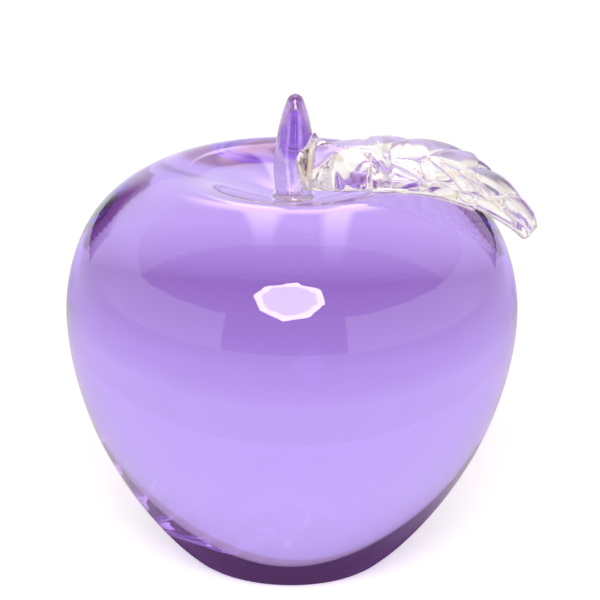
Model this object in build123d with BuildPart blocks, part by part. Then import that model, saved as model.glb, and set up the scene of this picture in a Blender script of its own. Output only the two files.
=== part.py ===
from build123d import *
from math import cos, radians, sin
import os

# A glass apple: a solid crystal body, a drawn glass stem that stands in its hollow, and a pressed glass leaf
# whose heel is bonded to the stem. Millimetres, +Z up. The origin is the centre of the polished foot, on the
# body's axis. The leaf hangs over the +X side, and -Y is the front.

# Apple body: the waist is where it is widest, and the rim is the crest around the hollow
body_radius = 40.0
waist_height = 47.8
foot_radius = 17.0
foot_edge_radius = 0.6
rim_radius = 20.6
rim_height = 71.6
hollow_depth = 4.5

# Outline of the body: each pair is a share of the way outwards and a share of the way upwards
flank_shares = [(0.13, 0.055), (0.35, 0.172), (0.73, 0.458), (0.96, 0.787)]
foot_slope_shares = (0.78, 0.62)
shoulder_shares = [(0.90, 0.405), (0.776, 0.608), (0.567, 0.793), (0.237, 0.954)]
hollow_shares = [(0.825, 0.09), (0.63, 0.38), (0.437, 0.71), (0.29, 0.91)]

# Adhesive: its film between two pieces of glass, and the fillet that it leaves around the stem's foot
adhesive_film = 0.2
adhesive_fillet = 0.9

# Stem: a peg that is thickest at its belly and has a fire-rounded tip
stem_length = 18.5
stem_foot_radius = 3.0
stem_belly_radius = 3.68
stem_tip_radius = 1.6

# Outline of the stem above its foot: each pair is a share of the belly's radius and a share of the length
stem_shares = [(0.92, 0.10), (1.0, 0.276), (0.94, 0.454), (0.81, 0.643), (0.57, 0.838)]

# Leaf: its spine runs from the heel over the rim of the hollow and droops past the waist
leaf_width = 26.4
leaf_thickness = 3.4
leaf_crown = 0.9
leaf_overhang = 2.6
leaf_clearance = 0.65
leaf_shift = -2.1
leaf_sway = 1.1
least_flat_share = 0.15
heel_start = 1.2
heel_drop = 1.6
heel_thickness = 7.2
droop_share = 0.516

# Spine past the rim: each pair is a share of the way outwards and a share of the way down to the tip
spine_shares = [(0.21, 0.07), (0.482, 0.26), (0.827, 0.70)]

# Sections of the leaf: a share of the spine, of the width and of the way from the heel's thickness to the leaf's
section_shares = [
    (0.0, 0.33, 0.0),
    (0.09, 0.42, 0.15),
    (0.18, 0.68, 0.52),
    (0.28, 0.92, 0.98),
    (0.39, 1.0, 1.0),
    (0.52, 0.98, 1.0),
    (0.66, 0.83, 1.0),
    (0.79, 0.63, 1.05),
    (0.90, 0.42, 1.15),
    (0.96, 0.24, 1.25),
    (0.985, 0.15, 1.4),
    (1.0, 0.07, 1.7),
]

# Valleys between the ribs on the leaf's top, from its back edge slanting out to its front edge
valley_count = 6
valley_radius = 1.1
valley_depth = 0.7
first_valley_share = 0.05
valley_pitch_share = 0.15
valley_slant_share = 0.22

# Path of a valley: a share of its slant along the spine, of the half width towards the back, and of its depth
valley_shares = [(0.0, 1.15, 1.0), (0.42, 0.6, 1.0), (0.8, -0.05, 0.8), (1.0, -0.8, 0.0)]

# Tongue of the heel, which runs up the side of the stem
tongue_height = 6.4
tongue_foot_radius = 2.5
tongue_tip_radius = 0.55
tongue_angle = -38.0
tongue_lean_share = 0.81

# Leaf adhesive: the sector of the stem that it wets
bond_start_angle = -66.0
bond_arc = 84.0
bond_height = 4.2

# Levels that follow from the sizes above
seat_height = rim_height - hollow_depth
seat_radius = stem_foot_radius + adhesive_fillet
stem_foot_height = seat_height + adhesive_film
stem_tip_height = stem_foot_height + stem_length
leaf_arch_height = rim_height + leaf_clearance + leaf_thickness / 2
leaf_droop = droop_share * (rim_height - waist_height)
leaf_reach = body_radius + leaf_overhang
heel_height = leaf_arch_height - heel_drop


def between(start, end, shares):
    """The point that lies at these shares of the way from start to end."""
    return tuple(a + share * (b - a) for a, b, share in zip(start, end, shares))


def stem_outline(extra):
    """The stem's side from its foot to its tip, moved outwards by extra."""
    foot = (stem_foot_radius + extra, stem_foot_height)
    side = [(out * stem_belly_radius + extra, stem_foot_height + up * stem_length) for out, up in stem_shares]
    shoulder = (stem_tip_radius + extra, stem_tip_height - stem_tip_radius)
    return Spline(foot, *side, shoulder, (extra, stem_tip_height), tangents=[(0, 1), (-1, 0)])


# Apple body: one turned and polished block, with a round hollow in its top and a flat foot
foot_point = (foot_radius, 0)
waist_point = (body_radius, waist_height)
rim_point = (rim_radius, rim_height)
seat_point = (seat_radius, seat_height)
shoulder_start = (rim_radius, waist_height)
shoulder_end = (body_radius, rim_height)

with BuildPart() as apple_body:
    with BuildSketch(Plane.XZ):
        with BuildLine():
            flank = [between(foot_point, waist_point, shares) for shares in flank_shares]
            Spline(foot_point, *flank, waist_point, tangents=[foot_slope_shares, (0, 1)])
            shoulder = [between(shoulder_start, shoulder_end, shares) for shares in shoulder_shares]
            Spline(waist_point, *shoulder, rim_point, tangents=[(0, 1), (-1, 0)])
            hollow = [(out * rim_radius, rim_height - down * hollow_depth) for out, down in hollow_shares]
            Spline(rim_point, *hollow, seat_point, tangents=[(-1, 0), (-1, 0)])
            Polyline(seat_point, (0, seat_height), (0, 0), foot_point)
        make_face()
    revolve(axis=Axis.Z)
    fillet(apple_body.edges().group_by(Axis.Z)[0], foot_edge_radius)

# Stem: a drawn peg whose foot is ground flat
with BuildPart() as stem:
    with BuildSketch(Plane.XZ):
        with BuildLine():
            stem_outline(0)
            Polyline((0, stem_tip_height), (0, stem_foot_height), (stem_foot_radius, stem_foot_height))
        make_face()
    revolve(axis=Axis.Z)

# Stem adhesive: a film under the stem's foot, with a hollow fillet up its side
with BuildPart() as stem_adhesive:
    with BuildSketch(Plane.XZ):
        with BuildLine():
            fillet_top = (stem_foot_radius, stem_foot_height + adhesive_fillet)
            fillet_toe = (stem_foot_radius + adhesive_fillet, seat_height)
            RadiusArc(fillet_toe, fillet_top, adhesive_fillet + adhesive_film)
            Polyline(fillet_top, (0, stem_foot_height + adhesive_fillet), (0, seat_height), fillet_toe)
        make_face()
    revolve(axis=Axis.Z)
    add(stem.part, mode=Mode.SUBTRACT)

# Leaf: a blank lofted along the spine, with valleys pressed into its top and a socket ground for the stem
heel_point = (heel_start, leaf_shift, heel_height)
rim_over = (rim_radius, leaf_shift, leaf_arch_height)
tip_point = (leaf_reach, leaf_shift + leaf_sway, leaf_arch_height - leaf_droop)

with BuildLine() as leaf_spine:
    drooping = [between(rim_over, tip_point, (out, out, down)) for out, down in spine_shares]
    Spline(heel_point, rim_over, *drooping, tip_point)

spine = leaf_spine.edges()[0]


def section_at(share):
    """Half the leaf's width and half its thickness at a share of the spine, read between the sections."""
    for low, high in zip(section_shares, section_shares[1:]):
        if share <= high[0]:
            step = (share - low[0]) / (high[0] - low[0])
            width_share = low[1] + step * (high[1] - low[1])
            thin_share = low[2] + step * (high[2] - low[2])
            thickness = heel_thickness + thin_share * (leaf_thickness - heel_thickness)
            return width_share * leaf_width / 2, thickness / 2


def section_plane(share):
    """The plane square to the spine, with its X across the leaf towards the back."""
    return Plane(origin=spine @ share, x_dir=(0, 1, 0), z_dir=spine % share)


def over_top(share, across_share, lift):
    """A point at lift above the leaf's crowned top, across_share of the half width from its middle."""
    half_width, half_thickness = section_at(share)
    crown = 2 * leaf_crown * half_width / leaf_width * (1 - across_share**2)
    plane = section_plane(share)
    up = plane.y_dir if plane.y_dir.Z > 0 else -plane.y_dir
    return plane.origin + plane.x_dir * (across_share * half_width) + up * (half_thickness + crown + lift)


with BuildPart() as leaf:
    for share, _, _ in section_shares:
        half_width, half_thickness = section_at(share)
        crown = 2 * leaf_crown * half_width / leaf_width
        flat_half = max(half_width - half_thickness, least_flat_share * half_width)
        side = 1 if section_plane(share).y_dir.Z > 0 else -1
        with BuildSketch(section_plane(share)):
            with BuildLine():
                bottom_front = (-flat_half, -side * half_thickness)
                bottom_back = (flat_half, -side * half_thickness)
                top_front = (-flat_half, side * half_thickness)
                top_back = (flat_half, side * half_thickness)
                Line(bottom_front, bottom_back)
                ThreePointArc(bottom_back, (half_width, 0), top_back)
                ThreePointArc(top_back, (0, side * (half_thickness + crown)), top_front)
                ThreePointArc(top_front, (-half_width, 0), bottom_front)
            make_face()
    loft()

    # The tongue leans on the stem and ends in a small round tip
    lean = (cos(radians(tongue_angle)), sin(radians(tongue_angle)))
    tongue_tip_reach = tongue_lean_share * stem_belly_radius + adhesive_film + tongue_tip_radius
    with BuildSketch(Plane.XY.offset(heel_height)):
        with Locations((stem_belly_radius * lean[0], stem_belly_radius * lean[1])):
            Circle(tongue_foot_radius)
    with BuildSketch(Plane.XY.offset(heel_height + tongue_height)):
        with Locations((tongue_tip_reach * lean[0], tongue_tip_reach * lean[1])):
            Circle(tongue_tip_radius)
    loft()

    # Each valley starts past the back edge and fades out before the smooth bar of the front edge
    for valley in range(valley_count):
        start_share = first_valley_share + valley * valley_pitch_share
        points = []
        for way, across_share, depth_share in valley_shares:
            share = min(start_share + way * valley_slant_share, 1)
            points.append(over_top(share, across_share, valley_radius - depth_share * valley_depth))
        with BuildLine():
            path = Spline(*points)
        with BuildSketch(Plane(origin=path @ 0, z_dir=path % 0)):
            Circle(valley_radius)
        sweep(mode=Mode.SUBTRACT)

    # The socket is the stem's own outline with the adhesive film around it
    with BuildSketch(Plane.XZ):
        with BuildLine():
            stem_outline(adhesive_film)
            Polyline(
                (adhesive_film, stem_tip_height),
                (0, stem_tip_height),
                (0, stem_foot_height),
                (stem_foot_radius + adhesive_film, stem_foot_height),
            )
        make_face()
    revolve(axis=Axis.Z, mode=Mode.SUBTRACT)

# Leaf adhesive: the film between the leaf's heel and the stem
bond_turn = radians(bond_start_angle)
bond_plane = Plane(
    origin=(0, 0, 0),
    x_dir=(cos(bond_turn), sin(bond_turn), 0),
    z_dir=(sin(bond_turn), -cos(bond_turn), 0),
)

with BuildPart() as leaf_adhesive:
    with BuildSketch(bond_plane):
        with BuildLine():
            stem_outline(adhesive_film)
            Polyline(
                (adhesive_film, stem_tip_height),
                (0, stem_tip_height),
                (0, stem_foot_height),
                (stem_foot_radius + adhesive_film, stem_foot_height),
            )
        make_face()
        with BuildLine():
            stem_outline(0)
            Polyline((0, stem_tip_height), (0, stem_foot_height), (stem_foot_radius, stem_foot_height))
        make_face(mode=Mode.SUBTRACT)
        with Locations((stem_belly_radius, heel_height)):
            Rectangle(stem_belly_radius, bond_height, mode=Mode.INTERSECT)
    revolve(axis=Axis.Z, revolution_arc=bond_arc)

# Each piece is written under its own name
os.makedirs("parts", exist_ok=True)

apple_body.part.label = "apple_body"
export_step(apple_body.part, "parts/apple_body.step")

stem.part.label = "stem"
export_step(stem.part, "parts/stem.step")

leaf.part.label = "leaf"
export_step(leaf.part, "parts/leaf.step")

stem_adhesive.part.label = "stem_adhesive"
export_step(stem_adhesive.part, "parts/stem_adhesive.step")

leaf_adhesive.part.label = "leaf_adhesive"
export_step(leaf_adhesive.part, "parts/leaf_adhesive.step")
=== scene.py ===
from math import cos, pi, radians, sin, tan

import bmesh
import bpy
import numpy as np
from bpy.props import FloatProperty, FloatVectorProperty, IntProperty, PointerProperty
from mathutils import Matrix, Vector


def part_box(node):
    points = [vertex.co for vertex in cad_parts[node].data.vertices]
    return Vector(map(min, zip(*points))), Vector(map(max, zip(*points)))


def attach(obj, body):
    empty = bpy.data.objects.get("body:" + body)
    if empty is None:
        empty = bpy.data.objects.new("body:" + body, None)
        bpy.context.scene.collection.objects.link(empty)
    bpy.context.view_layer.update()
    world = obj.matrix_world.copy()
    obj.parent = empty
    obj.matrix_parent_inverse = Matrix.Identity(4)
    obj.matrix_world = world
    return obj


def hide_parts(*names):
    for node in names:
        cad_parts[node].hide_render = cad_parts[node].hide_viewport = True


bl_info = {
    "name": "Glass apple",
    "version": (1, 0, 0),
    "blender": (4, 5, 0),
    "location": "3D View > Sidebar > Glass apple",
    "description": "Builds a solid crystal apple with a drawn stem and a pressed leaf, on a pale floor",
    "category": "Object",
}

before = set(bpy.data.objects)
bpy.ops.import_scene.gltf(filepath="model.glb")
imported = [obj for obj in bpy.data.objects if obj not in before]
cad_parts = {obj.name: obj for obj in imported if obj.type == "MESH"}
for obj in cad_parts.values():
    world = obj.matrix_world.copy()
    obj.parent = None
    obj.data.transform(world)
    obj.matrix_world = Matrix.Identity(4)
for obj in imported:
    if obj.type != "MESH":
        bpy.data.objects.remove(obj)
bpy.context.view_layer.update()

MM = 0.001
BODY_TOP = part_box("apple_body")[1][2] / MM
STEM_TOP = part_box("stem")[1][2] / MM

# Kinds of node that are used often, and their usual settings
MATH, RANGE, MIX = "ShaderNodeMath", "ShaderNodeMapRange", "ShaderNodeMix"
SUBTRACT, MULTIPLY, DIVIDE = ({"operation": name} for name in ("SUBTRACT", "MULTIPLY", "DIVIDE"))
ADD_TO = {"operation": "MULTIPLY_ADD"}
SMOOTH = {"interpolation_type": "SMOOTHSTEP"}
COLOURS = {"data_type": "RGBA"}

# Profiles are (radius, height) in millimetres. Each bonded surface reaches 0.02 mm into its neighbour, so
# that light crosses the joint as it does in a real one, with no air between the two.
FOOT = [(16.2, 0.0), (16.8, 0.1), (17.45, 0.5), (17.72, 0.8)]
FLANK = [(17.0, 0.0), (19.99, 2.63), (25.05, 8.22), (33.79, 21.89), (39.08, 37.62), (40.0, 47.8)]
SHOULDER = [(38.06, 57.44), (35.65, 62.27), (31.6, 66.67), (25.2, 70.51), (20.6, 71.6)]
HOLLOW = [(17.0, 71.2), (13.0, 69.89), (9.0, 68.4), (6.0, 67.5), (3.9, 67.1), (1.9, 67.1), (0.0, 67.1)]
STEM_SIDE = [
    (3.0, 67.3), (3.39, 69.15), (3.68, 72.4), (3.46, 75.7),
    (2.98, 79.2), (2.1, 82.8), (1.6, 84.2), (0.95, 85.35), (0.0, 85.8),
]
STEM_FILLET = [(3.88, 67.08), (3.6, 67.18), (3.34, 67.4), (3.2, 67.65), (3.17, 67.93)]

# Draw lines around the stem: how many, their share of the height and their phase
DRAW_LINES = [(5, 1.0, 0.4), (9, 0.8, 2.1), (14, 0.6, 4.0), (23, 0.45, 1.2), (31, 0.3, 5.1)]

# Slivers of air in the front of the stem's foot: turn in degrees, height and radius
SLIVERS = [(-112, 68.7, 0.2), (-98, 69.0, 0.17), (-84, 68.6, 0.26), (-72, 68.9, 0.19), (-60, 69.2, 0.17)]
SLIVER_RADIUS = 2.55

# Thickness of the leaf's adhesive film, and how far a bonded surface reaches into its neighbour
FILM = 0.2
OVERLAP = 0.02

# The leaf's spine, from its heel beside the stem to its drooping tip
LEAF_SPINE = [
    (0.6, -2.1, 72.3), (20.6, -2.1, 73.95), (25.2, -1.8, 73.09), (31.2, -1.53, 70.76), (38.8, -1.18, 65.35),
    (42.05, -1.0, 61.6),
]

# Share of the spine, half width and thickness
LEAF_SECTIONS = [
    (0.0, 4.4, 6.6), (0.09, 5.5, 6.2), (0.18, 9.0, 4.9), (0.28, 12.1, 3.6), (0.39, 13.2, 3.3),
    (0.52, 12.9, 3.3), (0.66, 11.0, 3.3), (0.79, 8.5, 3.1), (0.90, 6.0, 2.8), (0.96, 4.5, 2.6),
    (1.0, 3.7, 2.5),
]

# Share of the spine, and where the midrib crosses the leaf, from -1 at the front edge to 1 at the back edge
LEAF_MIDRIB = [
    (0, -0.05), (0.3, -0.11), (0.45, -0.1), (0.54, -0.19), (0.61, -0.3), (0.67, -0.42), (0.745, -0.68),
    (0.83, -0.93), (1, -0.98),
]

# Where the valleys between the lobes leave the midrib, as shares of the spine
LEAF_VALLEYS = [-0.2, -0.06, 0.06, 0.19, 0.323, 0.485, 0.603, 0.745, 0.88, 1.02, 1.2]

# Share of the spine, and how far a valley slants to the tip on its way to the back edge and the front edge
BACK_SLANT = [(0, 0.10), (0.4, 0.12), (0.55, 0.16), (0.75, 0.18), (1, 0.16)]
FRONT_SLANT = 0.2

# Power of the rounded square that is the leaf's section, and power that rounds its lobes
LEAF_ROUNDING = 2.6
LOBE_ROUNDING = 0.6

# The body is as wide as the solid, less 0.01 mm
BODY_RADIUS = 39.99

# Painted light and shade that the paper shows through the glass, by the distance from the middle of the foot
# in millimetres: a painted mauve shadow under the foot, painted bright light under the flank, a painted mauve
# ring of tinted light and shadow, and then white paper
PAINTED_PAPER_LIGHT = [
    (0, "#C8A0AA"), (27, "#C8A0AA"), (38, "#FFFAFA"), (60, "#FFFAFF"),
    (92, "#CBB2CE"), (170, "#EDE2F2"), (300, "#FFFFFF"),
]
PAPER_REACH = PAINTED_PAPER_LIGHT[-1][0] * MM

# The lens, and where the middle of the object falls in a square picture: left of its middle and below it
PICTURE_PX = 600
FOCAL_PX = 3360.0
OBJECT_LEFT_PX = 7.9
OBJECT_BELOW_PX = 64.0
CAMERA_ROLL = radians(0.95)


# Colour and node helpers

def linear(hex_colour, level=1.0):
    """A linear colour with alpha 1 from an sRGB hex value, made brighter by a level."""
    channels = [int(hex_colour[at:at + 2], 16) / 255 for at in (1, 3, 5)]
    light = [c / 12.92 if c <= 0.04045 else ((c + 0.055) / 1.055) ** 2.4 for c in channels]
    return tuple(level * c for c in light) + (1.0,)


def add_node(tree, kind, settings=None, inputs=None):
    """Adds one node, sets its properties, and gives each input a value or a link from another node."""
    node = tree.nodes.new(kind)
    for name, value in (settings or {}).items():
        setattr(node, name, value)
    for socket, value in (inputs or {}).items():
        if isinstance(value, bpy.types.NodeSocket):
            tree.links.new(value, node.inputs[socket])
        else:
            node.inputs[socket].default_value = value
    return node


def new_material(name):
    """An empty node material and its output node."""
    material = bpy.data.materials.new(name)
    material.use_nodes = True
    material.node_tree.nodes.clear()
    return material, add_node(material.node_tree, "ShaderNodeOutputMaterial")


# Geometry helpers

def smooth_curve(points, count):
    """Count points, evenly spaced, along a natural cubic spline through the given ones."""
    points = np.array(points, float)
    steps = np.linalg.norm(np.diff(points, axis=0), axis=1)
    at = np.concatenate([[0], np.cumsum(steps)])
    size = len(points)
    matrix, right = np.eye(size), np.zeros_like(points)
    for i in range(1, size - 1):
        matrix[i, i - 1:i + 2] = steps[i - 1], 2 * (steps[i - 1] + steps[i]), steps[i]
        right[i] = 6 * ((points[i + 1] - points[i]) / steps[i] - (points[i] - points[i - 1]) / steps[i - 1])
    bend = np.linalg.solve(matrix, right)
    where = np.linspace(0, at[-1], count)
    span = np.clip(np.searchsorted(at, where, side="right") - 1, 0, size - 2)
    step = steps[span][:, None]
    low, high = (at[span + 1] - where)[:, None], (where - at[span])[:, None]
    return (
        (bend[span] * low**3 + bend[span + 1] * high**3) / (6 * step)
        + (points[span] / step - bend[span] * step / 6) * low
        + (points[span + 1] / step - bend[span + 1] * step / 6) * high
    )


def read_table(table, share, column):
    """A column of a table of rows, read smoothly at a share, its first column."""
    curve = smooth_curve(table, 600)
    return np.interp(share, curve[:, 0], curve[:, column])


def ease(value, low, high):
    """0 below low, 1 above high and a smooth step between."""
    step = np.clip((value - low) / (high - low), 0, 1)
    return step * step * (3 - 2 * step)


def stem_radius(height):
    """Radius of the stem in millimetres at a height in millimetres."""
    side = smooth_curve(STEM_SIDE, 400)
    return np.interp(height, side[:, 1], side[:, 0])


def leaf_frame(share):
    """The leaf's spine at shares of its length, and the directions across and above the leaf there."""
    dense = smooth_curve(LEAF_SPINE, 2001)
    dense_share = np.linspace(0, 1, len(dense))
    ahead = np.gradient(dense, axis=0)
    spine, along = (
        np.stack([np.interp(share, dense_share, values[:, i]) for i in range(3)], 1)
        for values in (dense, ahead)
    )
    along /= np.linalg.norm(along, axis=1)[:, None]
    across = np.array([0, 1.0, 0]) - along[:, 1:2] * along
    across /= np.linalg.norm(across, axis=1)[:, None]
    return spine, across, np.cross(along, across)


def lobe_height(u, v, midrib):
    """1 on the ridge of a lobe and 0 in a valley. The valleys slant out from the midrib to both edges."""
    to_back = np.clip((v - midrib) / (1 - midrib), 0, 1)
    to_front = np.clip((midrib - v) / (midrib + 1.001), 0, 1)
    start = u - read_table(BACK_SLANT, u, 1) * to_back ** 1.1 - FRONT_SLANT * to_front ** 0.9
    place = np.interp(start, LEAF_VALLEYS, np.arange(len(LEAF_VALLEYS)))
    part = place - np.floor(place)
    return (4 * part * (1 - part)) ** LOBE_ROUNDING


def grid_mesh(name, rings, start=None, end=None):
    """A closed-round mesh from rings of points in millimetres, with a fan to the start and end points."""
    mesh = bpy.data.meshes.new(name)
    rings = np.asarray(rings, float)
    count, around = rings.shape[:2]
    points = [tuple(p * MM) for ring in rings for p in ring]
    faces = []
    for i in range(count - 1):
        for j in range(around):
            k = (j + 1) % around
            faces.append((i * around + j, i * around + k, (i + 1) * around + k, (i + 1) * around + j))
    for tip, ring, turn in ((start, 0, True), (end, count - 1, False)):
        if tip is None:
            continue
        points.append(tuple(np.array(tip, float) * MM))
        for j in range(around):
            k = (j + 1) % around
            face = (len(points) - 1, ring * around + k, ring * around + j)
            faces.append(face if turn else face[::-1])
    mesh.from_pydata(points, [], faces)
    shell = bmesh.new()
    shell.from_mesh(mesh)
    bmesh.ops.recalc_face_normals(shell, faces=shell.faces)
    shell.to_mesh(mesh)
    shell.free()
    return mesh


def revolved(name, profile, around, ripple=None):
    """A closed mesh turned about Z from a profile that starts and ends on the axis."""
    turns = np.arange(around) * 2 * pi / around
    rings = []
    for r, z in profile[1:-1]:
        out = r + (ripple(turns, r, z) if ripple else 0)
        rings.append(np.stack([out * np.cos(turns), out * np.sin(turns), np.full(around, z)], 1))
    return grid_mesh(name, rings, (0, 0, profile[0][1]), (0, 0, profile[-1][1]))


def carved(mesh, tool_mesh):
    """The first mesh less the second one."""
    block = bpy.data.objects.new("block", mesh)
    tool = bpy.data.objects.new("tool", tool_mesh)
    for thing in (block, tool):
        bpy.context.scene.collection.objects.link(thing)
    cut = block.modifiers.new("cut", "BOOLEAN")
    cut.operation, cut.solver, cut.object = "DIFFERENCE", "EXACT", tool
    result = bpy.data.meshes.new_from_object(block.evaluated_get(bpy.context.evaluated_depsgraph_get()))
    for thing in (block, tool):
        bpy.data.objects.remove(thing)
    result.name = mesh.name
    return result


def finish_piece(name, mesh, material, node, bubbles=()):
    """Puts a finished mesh in the scene, outward facing and smooth, in place of its CAD node.

    Bubbles are (centre, radius, direction, stretch along it) in millimetres, as shells that face inwards."""
    shell = bmesh.new()
    shell.from_mesh(mesh)
    bmesh.ops.recalc_face_normals(shell, faces=shell.faces)
    for centre, radius, direction, stretch in bubbles:
        ball = bmesh.ops.create_icosphere(shell, subdivisions=2, radius=radius * MM)
        way = Vector(direction).normalized()
        faces = set()
        for vert in ball["verts"]:
            vert.co -= way * vert.co.dot(way) * (1 - stretch)
            vert.co += Vector(centre) * MM
            faces.update(vert.link_faces)
        bmesh.ops.reverse_faces(shell, faces=list(faces))
    shell.to_mesh(mesh)
    shell.free()
    mesh.shade_smooth()
    mesh.set_sharp_from_angle(angle=radians(50))
    mesh.materials.clear()
    mesh.materials.append(material)
    piece = bpy.data.objects.new(name, mesh)
    bpy.context.scene.collection.objects.link(piece)
    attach(piece, "root")
    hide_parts(node)
    return piece


# Materials

def tinted_crystal(settings):
    """Tinted lead crystal, turned and polished.

    It gives the eye a clear purple that deepens with thickness, sharp reflections and faint turning rings."""
    material, output = new_material("polished_purple_crystal")
    tree = material.node_tree

    # Polishing leaves rings 0.9 mm apart on the shoulder, and waves about 12 mm across everywhere
    place = add_node(tree, "ShaderNodeTexCoord").outputs["Object"]
    rings = add_node(
        tree, "ShaderNodeTexWave", {"bands_direction": "Z", "wave_profile": "SIN"},
        {"Scale": 350.0, "Distortion": 1.5, "Detail": 2.0, "Detail Scale": 0.6, "Vector": place},
    )
    height = add_node(tree, "ShaderNodeSeparateXYZ", inputs={0: place}).outputs[2]
    shoulder = add_node(tree, RANGE, SMOOTH, {0: height, 1: 55 * MM, 2: 64 * MM})
    rings = add_node(tree, MATH, MULTIPLY, {0: rings.outputs["Fac"], 1: shoulder.outputs[0]})
    waves = add_node(tree, "ShaderNodeTexNoise", inputs={"Scale": 80.0, "Detail": 2.0, "Vector": place})
    lift = add_node(tree, MATH, ADD_TO, {0: rings.outputs[0], 1: 0.25, 2: waves.outputs["Fac"]})
    bump = add_node(
        tree, "ShaderNodeBump",
        inputs={"Strength": 1.0, "Distance": settings.waves, "Height": lift.outputs[0]},
    )
    surface = add_node(
        tree, "ShaderNodeBsdfPrincipled",
        inputs={
            "Base Color": tuple(settings.skin) + (1.0,), "Roughness": 0.0, "IOR": settings.ior,
            "Transmission Weight": 1.0, "Normal": bump.outputs[0],
        },
    )
    volume = add_node(
        tree, "ShaderNodeVolumeAbsorption",
        inputs={"Color": tuple(settings.tint) + (1.0,), "Density": settings.tint_density},
    )
    tree.links.new(surface.outputs["BSDF"], output.inputs["Surface"])
    tree.links.new(volume.outputs["Volume"], output.inputs["Volume"])
    return material


def clear_glass(name, ior, tint, pitch, stretch, depth):
    """Colourless glass or resin with a fire polished or cured skin.

    It gives the eye white and purple patches that break up at soft ripples. These are a pitch apart and a
    depth high, both in millimetres, and longer along Z by a stretch."""
    material, output = new_material(name)
    tree = material.node_tree
    place = add_node(tree, "ShaderNodeTexCoord").outputs["Object"]
    along = add_node(
        tree, "ShaderNodeMapping", {"vector_type": "POINT"}, {"Scale": (1, 1, 1 / stretch), "Vector": place},
    )
    ripples = add_node(
        tree, "ShaderNodeTexNoise",
        inputs={"Scale": 1 / (pitch * MM), "Detail": 1.0, "Roughness": 0.3, "Vector": along.outputs[0]},
    )
    bump = add_node(
        tree, "ShaderNodeBump",
        inputs={"Strength": 1.0, "Distance": depth * MM, "Height": ripples.outputs["Fac"]},
    )
    surface = add_node(
        tree, "ShaderNodeBsdfPrincipled",
        inputs={
            "Base Color": linear(tint), "Roughness": 0.0, "IOR": ior, "Transmission Weight": 1.0,
            "Normal": bump.outputs[0],
        },
    )
    tree.links.new(surface.outputs["BSDF"], output.inputs["Surface"])
    return material


class AppleBodySettings(bpy.types.PropertyGroup):
    ior: FloatProperty(
        name="Index", description="Index of refraction of the crystal", default=1.53, min=1.3, max=1.8,
    )
    tint: FloatVectorProperty(
        name="Tint", description="Colour that the crystal leaves of white light", subtype="COLOR", size=3,
        min=0, max=1, default=linear("#CC42F6")[:3],
    )
    tint_density: FloatProperty(name="Tint density", description="Absorption per metre", default=6.3, min=0)
    skin: FloatVectorProperty(
        name="Skin", description="Colour that light takes where it goes through the surface", subtype="COLOR",
        size=3, min=0, max=1, default=linear("#D3C8FF")[:3],
    )
    waves: FloatProperty(
        name="Waves", description="Height of the waves that polishing leaves", default=0.012 * MM, min=0,
        unit="LENGTH", precision=6,
    )
    segments: IntProperty(name="Segments", description="Faces around the body", default=320, min=32)
    rings: IntProperty(name="Rings", description="Faces from foot to hollow", default=260, min=32)


class StemSettings(bpy.types.PropertyGroup):
    ior: FloatProperty(
        name="Index", description="Index of refraction of the stem", default=1.52, min=1.3, max=1.8,
    )
    ripple: FloatProperty(
        name="Ripple", description="Height of the draw lines along the stem", default=0.03 * MM, min=0,
        unit="LENGTH", precision=6,
    )
    seeds: IntProperty(name="Seeds", description="Tiny bubbles in the stem", default=12, min=0)


class LeafSettings(bpy.types.PropertyGroup):
    ior: FloatProperty(
        name="Index", description="Index of refraction of the leaf", default=1.52, min=1.3, max=1.8,
    )
    valley: FloatProperty(
        name="Valley", description="Depth of the valleys between the lobes", default=0.6 * MM, min=0,
        unit="LENGTH", precision=6,
    )
    bar: FloatProperty(
        name="Front bar", description="Height of the smooth bar along the front edge", default=0.4 * MM,
        min=0, unit="LENGTH", precision=6,
    )
    rings: IntProperty(name="Rings", description="Faces from heel to tip", default=300, min=60)
    around: IntProperty(name="Around", description="Faces around the leaf", default=200, min=40)


class AdhesiveSettings(bpy.types.PropertyGroup):
    ior: FloatProperty(
        name="Index", description="Index of refraction of the adhesive", default=1.5, min=1.3, max=1.8,
    )
    bubbles: IntProperty(name="Bubbles", description="Bubbles trapped in the leaf's joint", default=46, min=0)


class StageSettings(bpy.types.PropertyGroup):
    distance: FloatProperty(name="Distance", description="Camera to object", default=0.6, unit="LENGTH")
    elevation: FloatProperty(
        name="Elevation", description="Camera above the level", default=radians(20.3), subtype="ANGLE",
    )
    softbox_power: FloatProperty(name="Softbox", description="Radiance of the softbox", default=12.0)


class GLASSAPPLE_OT_body(bpy.types.Operator):
    """Turns the crystal body with its hollow and foot"""

    bl_idname = "glass_apple.body"
    bl_label = "Apple body"

    def execute(self, context):
        settings = context.scene.glass_apple_body
        side = smooth_curve(FLANK + SHOULDER + HOLLOW, settings.rings)
        upper = side[:, 1] > FOOT[-1][1]
        side = side[np.argmax(upper):]
        foot = np.stack([np.linspace(0, FOOT[0][0], 12), np.zeros(12)], 1)
        edge = smooth_curve(FOOT[:3] + [tuple(side[0])], 8)[1:-1]
        profile = np.concatenate([foot, edge, side])
        profile[:, 0] *= BODY_RADIUS / profile[:, 0].max()
        profile[:, 1] = np.minimum(profile[:, 1], BODY_TOP)
        profile[0, 0] = profile[-1, 0] = 0
        mesh = revolved("apple_body_crystal", profile, settings.segments)
        finish_piece("apple_body_crystal", mesh, tinted_crystal(settings), "apple_body")
        return {"FINISHED"}


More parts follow.
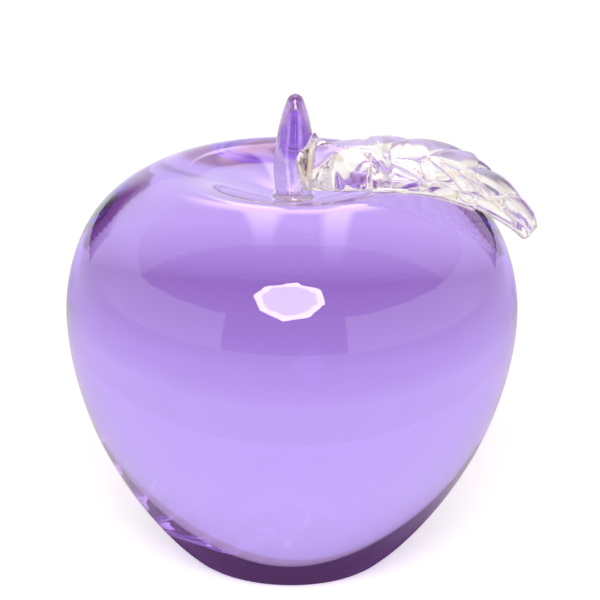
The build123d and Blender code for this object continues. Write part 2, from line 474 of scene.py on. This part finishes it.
class GLASSAPPLE_OT_stem(bpy.types.Operator):
    """Draws the clear glass stem"""

    bl_idname = "glass_apple.stem"
    bl_label = "Stem"

    def execute(self, context):
        settings = context.scene.glass_apple_stem
        height = settings.ripple / MM

        def draw_lines(turns, r, z):
            """Cuts the lines into the stem, between its fillet and its rounded tip."""
            wave = 0
            for count, size, phase in DRAW_LINES:
                wave = wave + size * np.cos(count * turns + phase + 0.03 * z * count ** 0.5)
            return -height * (1.6 - 0.5 * wave) * ease(z, 68.2, 69.4) * (1 - ease(z, 82, 85))

        side = smooth_curve(STEM_SIDE, 160)
        foot_radius, foot_height = STEM_SIDE[0]
        foot = np.stack([np.linspace(0, foot_radius - 0.1, 8), np.full(8, foot_height)], 1)
        profile = np.concatenate([foot, side])
        profile[:, 1] = np.minimum(profile[:, 1], STEM_TOP)
        profile[0, 0] = profile[-1, 0] = 0
        mesh = revolved("stem_drawn", profile, 224, draw_lines)
        chance = np.random.default_rng(7)
        bubbles = []
        for _ in range(settings.seeds):
            z = chance.uniform(70, 83)
            turn, out = chance.uniform(0, 2 * pi), chance.uniform(0.1, 0.7) * stem_radius(z)
            place = (out * cos(turn), out * sin(turn), z)
            bubbles.append((place, chance.uniform(0.05, 0.11), (0, 0, 1), 1.6))
        for turn, z, size in SLIVERS:
            place = (SLIVER_RADIUS * cos(radians(turn)), SLIVER_RADIUS * sin(radians(turn)), z)
            bubbles.append((place, size, (0, 0, 1), 4.5))
        # Draw lines about 0.5 mm apart run along the stem
        material = clear_glass("fire_polished_stem_glass", settings.ior, "#F6F0FA", 0.5, 14, 0.012)
        finish_piece("stem_drawn", mesh, material, "stem", bubbles)
        return {"FINISHED"}


class GLASSAPPLE_OT_leaf(bpy.types.Operator):
    """Presses the clear glass leaf with its lobes, front bar and heel"""

    bl_idname = "glass_apple.leaf"
    bl_label = "Leaf"

    def execute(self, context):
        settings = context.scene.glass_apple_leaf
        # Rings lie closer at the heel and the tip
        share = np.linspace(0, 1, settings.rings)
        share = share - 0.33 * np.sin(2 * pi * share) / (2 * pi)
        spine, across, above = leaf_frame(share)

        # Rounded ends, with their lengths as shares of the spine
        heel_length, nose_length = 0.035, 0.045
        heel = np.sqrt(1 - np.clip(1 - share / heel_length, 0, 1) ** 2)
        nose = np.clip((share - (1 - nose_length)) / nose_length, 0, 1)
        nose = np.sqrt(np.clip(1 - nose ** 2, 0.002, 1))
        half_width = read_table(LEAF_SECTIONS, share, 1) * nose * (0.35 + 0.65 * heel)
        half_thick = read_table(LEAF_SECTIONS, share, 2) / 2 * nose * (0.5 + 0.5 * heel)
        midrib = read_table(LEAF_MIDRIB, share, 1)[:, None]

        # Each ring runs over the top from the back edge to the front edge, and back underneath: u runs from
        # heel to tip, v from -1 at the front edge to 1 at the back edge, and w from -1 underneath to 1 on top
        count = settings.around
        turn = np.arange(count) * 2 * pi / count
        v = np.cos(turn)[None, :]
        w = np.sign(np.sin(turn)) * (1 - np.abs(np.cos(turn)) ** LEAF_ROUNDING) ** (1 / LEAF_ROUNDING)
        w = w[None, :]
        top = ease(w, 0.0, 0.75)
        u = share[:, None]

        # Valleys between the lobes, all but at the heel, the tip and the front edge
        valley = 1 - lobe_height(u, v, midrib)
        spread = ease(u, 0.17, 0.3) * (1 - ease(u, 0.86, 0.95))
        relief = -settings.valley / MM * valley * (ease(v, -0.88, -0.74) * spread)

        # A groove along the midrib, which ends before the tip
        groove_depth, groove_width = 0.22, 0.6
        groove = np.exp(-(((v - midrib) * half_width[:, None]) / groove_width) ** 2)
        relief = relief - groove_depth * groove * spread * (1 - ease(u, 0.8, 0.86))

        # The smooth bar just inside the front edge, its place and width as shares of the leaf's half width
        bar_middle, bar_width = -0.92, 0.075
        bar = np.exp(-((v - bar_middle) / bar_width) ** 2)
        relief = relief + settings.bar / MM * bar * ease(u, 0.06, 0.16)

        # The crown, by half width, is higher over the heel, and one lobe in front of the midrib has none
        crown_height, heel_extra = 0.068, 0.8
        flat = ease(u, 0.32, 0.36) * (1 - ease(u, 0.46, 0.50)) * ease(-v, -0.5, 0.1)
        heel_rise = 1 + heel_extra * (1 - ease(u, 0.28, 0.34))
        crown = crown_height * half_width[:, None] * (1 - v**2) * (1 - flat) * heel_rise

        # The back edge lifts and the front edge droops
        near_lift, far_lift, droop, edge_power = 0.45, 0.7, 1.1, 1.3
        lift = near_lift * ease(u, 0.12, 0.35) + far_lift * ease(u, 0.45, 0.7)
        edges = lift * np.clip(v, 0, 1) ** edge_power
        edges = edges - droop * np.clip(-v, 0, 1) ** edge_power * ease(u, 0.0, 0.15)

        # The valleys also notch the back edge
        rise = half_thick[:, None] * w + top * (crown + relief) + edges
        scallop = 1 - 0.03 * valley * ease(v, 0.5, 1.0) * spread
        reach = half_width[:, None] * v * scallop
        points = spine[:, None] + across[:, None] * reach[..., None] + above[:, None] * rise[..., None]

        # Near the stem the top flares up into a web, highest at one turn around the stem
        web_height, web_reach, web_turn, web_spread = 2.5, 1.3, -14, 42
        out = np.hypot(points[..., 0], points[..., 1])
        angle = np.degrees(np.arctan2(points[..., 1], points[..., 0]))
        gap = np.clip(out - stem_radius(points[..., 2]) - FILM, 0, None)
        web = np.exp(-gap / web_reach) * np.exp(-((angle - web_turn) / web_spread) ** 2)
        points[..., 2] += web_height * web * top
        mesh = grid_mesh("leaf_pressed", points, tuple(points[0].mean(0)), tuple(points[-1].mean(0)))

        # The heel is carved to fit around the stem, with room for the film
        side = smooth_curve(STEM_SIDE, 90)
        socket = [(r + FILM, z) for r, z in side if z < 84]
        tool = [(0, 60.0), (3.2, 60.0)] + socket + [(2.0, 86.5), (0, 86.5)]
        mesh = carved(mesh, revolved("socket_tool", tool, 128))

        # The mould leaves soft ripples about 4 mm apart
        material = clear_glass("pressed_leaf_glass", settings.ior, "#FBF8F3", 4, 1, 0.012)
        finish_piece("leaf_pressed", mesh, material, "leaf")
        return {"FINISHED"}


class GLASSAPPLE_OT_adhesive(bpy.types.Operator):
    """Cures the clear adhesive under the stem and between the leaf and the stem"""

    bl_idname = "glass_apple.adhesive"
    bl_label = "Adhesive"

    def execute(self, context):
        settings = context.scene.glass_apple_adhesive
        # Cured resin keeps a slightly uneven skin with waves about 0.8 mm apart
        material = clear_glass("cured_clear_adhesive", settings.ior, "#F7F5F0", 0.8, 1, 0.01)

        # Film and fillet under the stem
        low, high = STEM_FILLET[0][1], STEM_SIDE[0][1] + OVERLAP
        outer = smooth_curve(STEM_FILLET, 14)
        inner = [(float(stem_radius(z)) - OVERLAP, z) for z in np.linspace(67.9, 67.4, 5)]
        top = [(2.8, high), (1.4, high), (0, high)]
        profile = [(0, low), (1.9, low)] + [tuple(p) for p in outer] + inner + top
        mesh = revolved("stem_adhesive_fillet", profile, 96)
        finish_piece("stem_adhesive_fillet", mesh, material, "stem_adhesive")

        # Film between the leaf's heel and the stem, with a wavy rim
        middle, half_turn, half_height = (radians(-24), 72.9), radians(43), 3.3
        rings = []
        for at in np.linspace(-0.999, 0.999, 90):
            angle = middle[0] + half_turn * at
            tall = half_height * (1 - abs(at) ** 5) ** 0.2 * (1 + 0.05 * sin(9 * at) + 0.03 * sin(23 * at))
            turn = np.arange(48) * 2 * pi / 48
            z = middle[1] + tall * np.cos(turn)
            depth = np.sign(np.sin(turn)) * np.abs(np.sin(turn)) ** 0.5
            r = stem_radius(z) + FILM / 2 + depth * (FILM / 2 + OVERLAP)
            rings.append(np.stack([r * cos(angle), r * sin(angle), z], 1))
        mesh = grid_mesh("leaf_adhesive_film", rings, tuple(rings[0].mean(0)), tuple(rings[-1].mean(0)))
        chance = np.random.default_rng(11)
        bubbles = []
        for _ in range(settings.bubbles):
            angle = radians(chance.uniform(-64, -44) if chance.random() < 0.75 else chance.uniform(-44, 14))
            z = chance.uniform(70.1, 75.6)
            r = float(stem_radius(z)) + FILM / 2
            way = (cos(angle), sin(angle), 0)
            bubbles.append(((r * way[0], r * way[1], z), chance.uniform(0.05, 0.17), way, 0.35))
        finish_piece("leaf_adhesive_film", mesh, material, "leaf_adhesive", bubbles)
        return {"FINISHED"}


class GLASSAPPLE_OT_stage(bpy.types.Operator):
    """Sets the floor, the softbox, the world and the camera"""

    bl_idname = "glass_apple.stage"
    bl_label = "Stage"

    def execute(self, context):
        settings = context.scene.glass_apple_stage
        scene = context.scene
        scene.view_settings.view_transform = "Standard"
        scene.cycles.max_bounces = 24
        scene.cycles.transmission_bounces = 24
        scene.cycles.glossy_bounces = 24
        self.floor(scene)
        self.softbox(scene, settings)
        self.world(scene)
        self.camera(scene, settings)
        return {"FINISHED"}

    def floor(self, scene):
        """White paper that fades into the white of the background."""
        mesh = bpy.data.meshes.new("studio_floor")
        half, level = 4.0, -0.05 * MM
        corners = [(-half, -half, level), (half, -half, level), (half, half, level), (-half, half, level)]
        mesh.from_pydata(corners, [], [(0, 1, 2, 3)])
        floor = bpy.data.objects.new("studio_floor", mesh)
        scene.collection.objects.link(floor)
        # Matt uncoated paper: a plain white with soft shadows and no shine where it is seen directly; in the
        # glass it shows painted shade and painted light
        material, output = new_material("matt_white_paper")
        tree = material.node_tree
        path = add_node(tree, "ShaderNodeLightPath").outputs
        place = add_node(tree, "ShaderNodeNewGeometry")
        away = add_node(tree, "ShaderNodeVectorMath", {"operation": "LENGTH"}, {0: place.outputs["Position"]})
        away = away.outputs["Value"]

        # Mirrored in the glass, the paper has painted shade close to the foot: a dark purple that stands in
        # for the shade there
        painted_shade_mask = add_node(tree, RANGE, SMOOTH, {0: away, 1: 20 * MM, 2: 45 * MM, 3: 1.0, 4: 0.0})
        painted_shade_mask = add_node(tree, MATH, MULTIPLY, {0: painted_shade_mask.outputs[0], 1: path["Is Glossy Ray"]})
        shade = add_node(tree, MIX, COLOURS, {0: painted_shade_mask.outputs[0], 6: linear("#E7E7E7"), 7: linear("#7C5986")})
        glow = add_node(tree, MATH, MULTIPLY, {0: path["Is Camera Ray"], 1: 0.45})
        surface = add_node(
            tree, "ShaderNodeBsdfPrincipled",
            inputs={
                "Base Color": shade.outputs[2], "Roughness": 0.9, "Specular IOR Level": 0.0,
                "Emission Color": (1, 1, 1, 1), "Emission Strength": glow.outputs[0],
            },
        )
        fade = add_node(tree, RANGE, SMOOTH, {0: away, 1: 120 * MM, 2: 400 * MM})
        white = add_node(tree, "ShaderNodeEmission", inputs={"Color": (1, 1, 1, 1), "Strength": 1.03})
        paper = add_node(
            tree, "ShaderNodeMixShader",
            inputs={0: fade.outputs[0], 1: surface.outputs[0], 2: white.outputs[0]},
        )

        # Through the glass the paper shows painted light and shade in rings around the foot, in place of its
        # lit colour
        span = add_node(tree, MATH, DIVIDE, {0: away, 1: PAPER_REACH})
        ramp = add_node(tree, "ShaderNodeValToRGB", inputs={0: span.outputs[0]})
        stops = ramp.color_ramp.elements
        while len(stops) < len(PAINTED_PAPER_LIGHT):
            stops.new(0.5)
        for stop, (distance, colour) in zip(stops, PAINTED_PAPER_LIGHT):
            stop.position = distance * MM / PAPER_REACH
            stop.color = linear(colour)
        rings = add_node(tree, "ShaderNodeEmission", inputs={"Color": ramp.outputs[0], "Strength": 1.0})
        mixed = add_node(
            tree, "ShaderNodeMixShader",
            inputs={0: path["Is Transmission Ray"], 1: paper.outputs[0], 2: rings.outputs[0]},
        )
        tree.links.new(mixed.outputs[0], output.inputs["Surface"])
        mesh.materials.append(material)

    def softbox(self, scene, settings):
        """An eight-sided softbox above the camera."""
        turn, rise, away, sides, first_corner = radians(-1.5), radians(37.5), 1.3, 8, 35
        half_angle, cloth_share = radians(17.5), 0.78
        highlight = Vector((0, -36, 60)) * MM
        direction = Vector((sin(turn) * cos(rise), -cos(turn) * cos(rise), sin(rise)))
        centre = highlight + direction * away
        across = Vector((0, 0, 1)).cross(-direction).normalized() * -1
        up = direction.cross(across).normalized()
        if up.z < 0:
            up = -up
        radius = away * tan(half_angle)
        corners = [centre]
        for size in (cloth_share, 1.0):
            for i in range(sides):
                turn = radians(first_corner + 360 / sides * i)
                corners.append(centre + size * radius * (across * cos(turn) + up * sin(turn)))
        outer = 1 + sides
        faces = []
        for i in range(sides):
            k = (i + 1) % sides
            faces.append((0, 1 + i, 1 + k))
        for i in range(sides):
            k = (i + 1) % sides
            faces.append((1 + i, outer + i, outer + k, 1 + k))
        mesh = bpy.data.meshes.new("softbox")
        mesh.from_pydata([tuple(c) for c in corners], [], faces)
        softbox = bpy.data.objects.new("softbox", mesh)
        scene.collection.objects.link(softbox)
        # The cloth is dimmer than its silver rim, and both are dim where they are seen through the glass
        for name, share in (("softbox_cloth", 0.92), ("softbox_rim", 1.45)):
            material, output = new_material(name)
            tree = material.node_tree
            path = add_node(tree, "ShaderNodeLightPath").outputs
            through = add_node(
                tree, MATH, {"operation": "SUBTRACT", "use_clamp": True},
                {0: path["Is Transmission Ray"], 1: path["Diffuse Depth"]},
            )
            power = settings.softbox_power * share
            level = add_node(tree, RANGE, inputs={0: through.outputs[0], 3: power, 4: 1.6})
            light = add_node(
                tree, "ShaderNodeEmission", inputs={"Color": linear("#FFF8F9"), "Strength": level.outputs[0]},
            )
            tree.links.new(light.outputs[0], output.inputs["Surface"])
            mesh.materials.append(material)
        for face in mesh.polygons[sides:]:
            face.material_index = 1
        softbox.visible_camera = False

    def world(self, scene):
        """White walls, a dark warm ceiling over the camera and a light one behind, an opening and lamps."""
        world = bpy.data.worlds.new("studio")
        scene.world = world
        world.use_nodes = True
        tree = world.node_tree
        tree.nodes.clear()
        output = add_node(tree, "ShaderNodeOutputWorld")
        place = add_node(tree, "ShaderNodeTexCoord").outputs["Generated"]
        x, y, z = add_node(tree, "ShaderNodeSeparateXYZ", inputs={0: place}).outputs
        path = add_node(tree, "ShaderNodeLightPath").outputs
        through, glossy = path["Is Transmission Ray"], path["Is Glossy Ray"]
        mirrored = add_node(tree, MATH, SUBTRACT, {0: glossy, 1: through}).outputs[0]

        # The walls end where the ceiling starts, higher at the back left than at the front
        back = add_node(tree, MATH, {"operation": "MAXIMUM"}, {0: y, 1: 0.0}).outputs[0]
        slope = add_node(tree, MATH, ADD_TO, {0: x, 1: -0.25, 2: 0.30}).outputs[0]
        wall_top = add_node(tree, MATH, ADD_TO, {0: back, 1: slope, 2: 0.36}).outputs[0]
        over = add_node(tree, MATH, SUBTRACT, {0: z, 1: wall_top}).outputs[0]

        # Ratios that set how far to a side a direction points
        behind = add_node(tree, MATH, MULTIPLY, {0: y, 1: -1.0}).outputs[0]
        across = add_node(tree, MATH, DIVIDE, {0: x, 1: behind}).outputs[0]
        wide = add_node(tree, MATH, {"operation": "ABSOLUTE"}, {0: x}).outputs[0]
        ahead = add_node(tree, MATH, {"operation": "MAXIMUM"}, {0: y, 1: 0.01}).outputs[0]
        aside = add_node(tree, MATH, DIVIDE, {0: wide, 1: ahead}).outputs[0]
        upward = add_node(tree, MATH, {"operation": "MAXIMUM"}, {0: z, 1: 0.05}).outputs[0]
        lean = add_node(tree, MATH, DIVIDE, {0: x, 1: upward}).outputs[0]

        # Soft edges between the parts of the room: what is measured, its start and end, and the share at both
        edges = {}
        for name, source, start, end, low, high in (
            ("ceiling", over, -0.012, 0.012, 0.0, 1.0),
            ("back_wall", y, 0.1, 0.6, 0.0, 1.0),
            ("ceiling_height", z, 0.35, 0.95, 0.0, 1.0),
            ("back_ceiling", y, 0.0, 0.07, 0.0, 1.0),
            ("opening_left", across, -0.71, -0.68, 0.0, 1.0),
            ("opening_right", across, 0.51, 0.55, 1.0, 0.0),
            ("opening_front", y, -0.02, 0.0, 1.0, 0.0),
            ("opening_low", over, -0.01, 0.01, 1.0, 0.0),
            ("stand_inner", aside, 0.24, 0.44, 0.0, 1.0),
            ("stand_outer", aside, 1.0, 1.1, 1.0, 0.0),
            ("stand_top", z, 0.22, 0.34, 1.0, 0.0),
            ("lamp_height", z, 0.3, 0.5, 0.0, 1.0),
            ("glow_side", wide, 0.12, 0.3, 1.0, 0.0),
            ("glow_back", y, 0.62, 0.76, 0.0, 1.0),
            ("glow_height", z, 0.5, 0.6, 0.0, 1.0),
        ):
            node = add_node(tree, RANGE, SMOOTH, {0: source, 1: start, 2: end, 3: low, 4: high})
            edges[name] = node.outputs[0]

        # Two long lamps under the back ceiling: middle, drift to the back, half width, its change, front end
        lamps = []
        for middle, drift, half, change, front in (
            (-0.165, 0.09, 0.055, 0.03, -0.15), (0.235, -0.12, 0.08, -0.03, -0.35),
        ):
            centre = add_node(tree, MATH, ADD_TO, {0: y, 1: drift, 2: middle}).outputs[0]
            reach = add_node(tree, MATH, ADD_TO, {0: y, 1: change, 2: half}).outputs[0]
            off = add_node(tree, MATH, SUBTRACT, {0: lean, 1: centre}).outputs[0]
            off = add_node(tree, MATH, {"operation": "ABSOLUTE"}, {0: off}).outputs[0]
            off = add_node(tree, MATH, DIVIDE, {0: off, 1: reach}).outputs[0]
            side = add_node(tree, RANGE, SMOOTH, {0: off, 1: 0.45, 2: 1.3, 3: 1.0, 4: 0.0}).outputs[0]
            length = add_node(tree, RANGE, SMOOTH, {0: y, 1: front, 2: 0.6}).outputs[0]
            lamps.append(((side, length, edges["lamp_height"], mirrored), linear("#FAEDFF", 4.6)))

        # Parts of the room with two looks: the share of the second look, then both looks
        white = linear("#FFFFFF", 1.05)
        looks = []
        for share, first, second in (
            (through, linear("#FFFFFF", 1.6), white),
            (edges["ceiling_height"], linear("#867676"), linear("#5D4B50")),
            (through, linear("#6F655D"), linear("#BC8BAD")),
        ):
            looks.append(add_node(tree, MIX, COLOURS, {0: share, 6: first, 7: second}).outputs[2])
        front_wall, front_ceiling, opening = looks
        shares = {0: edges["back_ceiling"], 6: front_ceiling, 7: linear("#F6ECDF")}
        ceiling = add_node(tree, MIX, COLOURS, shares).outputs[2]

        # Stands, lamps and glow only show where they are mirrored
        gap = tuple(edges["opening_" + side] for side in ("left", "right", "front", "low"))
        stands = (edges["stand_inner"], edges["stand_outer"], edges["stand_top"], mirrored)
        glow = (edges["glow_side"], edges["glow_back"], edges["glow_height"], mirrored)

        # Each layer covers the last one as far as its edges let it
        layers = [
            ((edges["back_wall"],), white),
            ((edges["ceiling"],), ceiling),
            (gap, opening),
            (stands, linear("#695550")),
            *lamps,
            (glow, linear("#FFE2EE", 4.2)),
        ]
        room = front_wall
        for shares, colour in layers:
            share = shares[0]
            for factor in shares[1:]:
                share = add_node(tree, MATH, MULTIPLY, {0: share, 1: factor}).outputs[0]
            room = add_node(tree, MIX, COLOURS, {0: share, 6: room, 7: colour}).outputs[2]

        both = {"operation": "ADD", "use_clamp": True}
        direct = add_node(tree, MATH, both, {0: through, 1: glossy}).outputs[0]
        level = add_node(tree, RANGE, inputs={0: direct, 3: 0.7, 4: 1.0}).outputs[0]
        lit = add_node(tree, "ShaderNodeBackground", inputs={"Color": room, "Strength": level})
        plain = add_node(tree, "ShaderNodeBackground", inputs={"Color": (1, 1, 1, 1), "Strength": 1.0})
        mixed = add_node(
            tree, "ShaderNodeMixShader",
            inputs={0: path["Is Camera Ray"], 1: lit.outputs[0], 2: plain.outputs[0]},
        )
        tree.links.new(mixed.outputs[0], output.inputs["Surface"])

    def camera(self, scene, settings):
        """A long lens a little above the object."""
        camera = bpy.data.cameras.new("camera")
        camera.sensor_width = 36.0
        camera.lens = camera.sensor_width * FOCAL_PX / PICTURE_PX
        eye = bpy.data.objects.new("camera", camera)
        scene.collection.objects.link(eye)
        target = Vector((0, 0, 35.75 * MM))
        back = Vector((0, -cos(settings.elevation), sin(settings.elevation)))
        right = Vector((1, 0, 0))
        up = back.cross(right)
        eye.location = target + back * settings.distance
        aim = (-back + right * (OBJECT_LEFT_PX / FOCAL_PX) + up * (OBJECT_BELOW_PX / FOCAL_PX)).normalized()
        side = aim.cross(up).normalized()
        top = side.cross(aim)
        level, tilt = cos(CAMERA_ROLL), sin(CAMERA_ROLL)
        side, top = side * level + top * tilt, top * level - side * tilt
        eye.matrix_world = Matrix.Translation(eye.location) @ Matrix((side, top, -aim)).transposed().to_4x4()
        camera.clip_start, camera.clip_end = 0.01, 50
        scene.camera = eye


OPERATORS = (
    GLASSAPPLE_OT_body, GLASSAPPLE_OT_stem, GLASSAPPLE_OT_leaf, GLASSAPPLE_OT_adhesive, GLASSAPPLE_OT_stage,
)

SETTINGS = {
    "glass_apple_body": AppleBodySettings,
    "glass_apple_stem": StemSettings,
    "glass_apple_leaf": LeafSettings,
    "glass_apple_adhesive": AdhesiveSettings,
    "glass_apple_stage": StageSettings,
}


class GLASSAPPLE_PT_pieces(bpy.types.Panel):
    """Lists the pieces with their settings"""

    bl_idname = "GLASSAPPLE_PT_pieces"
    bl_label = "Glass apple"
    bl_space_type = "VIEW_3D"
    bl_region_type = "UI"
    bl_category = "Glass apple"

    def draw(self, context):
        for operator, name in zip(OPERATORS, SETTINGS):
            box = self.layout.box()
            box.operator(operator.bl_idname)
            group = getattr(context.scene, name)
            for setting in group.bl_rna.properties:
                if setting.identifier not in ("rna_type", "name"):
                    box.prop(group, setting.identifier)


CLASSES = tuple(SETTINGS.values()) + OPERATORS + (GLASSAPPLE_PT_pieces,)


def register():
    for cls in CLASSES:
        bpy.utils.register_class(cls)
    for name, group in SETTINGS.items():
        setattr(bpy.types.Scene, name, PointerProperty(type=group))


def unregister():
    for name in SETTINGS:
        delattr(bpy.types.Scene, name)
    for cls in reversed(CLASSES):
        bpy.utils.unregister_class(cls)


def main():
    register()
    bpy.ops.glass_apple.body()
    bpy.ops.glass_apple.stem()
    bpy.ops.glass_apple.leaf()
    bpy.ops.glass_apple.adhesive()
    bpy.ops.glass_apple.stage()


if __name__ == "__main__":
    main()
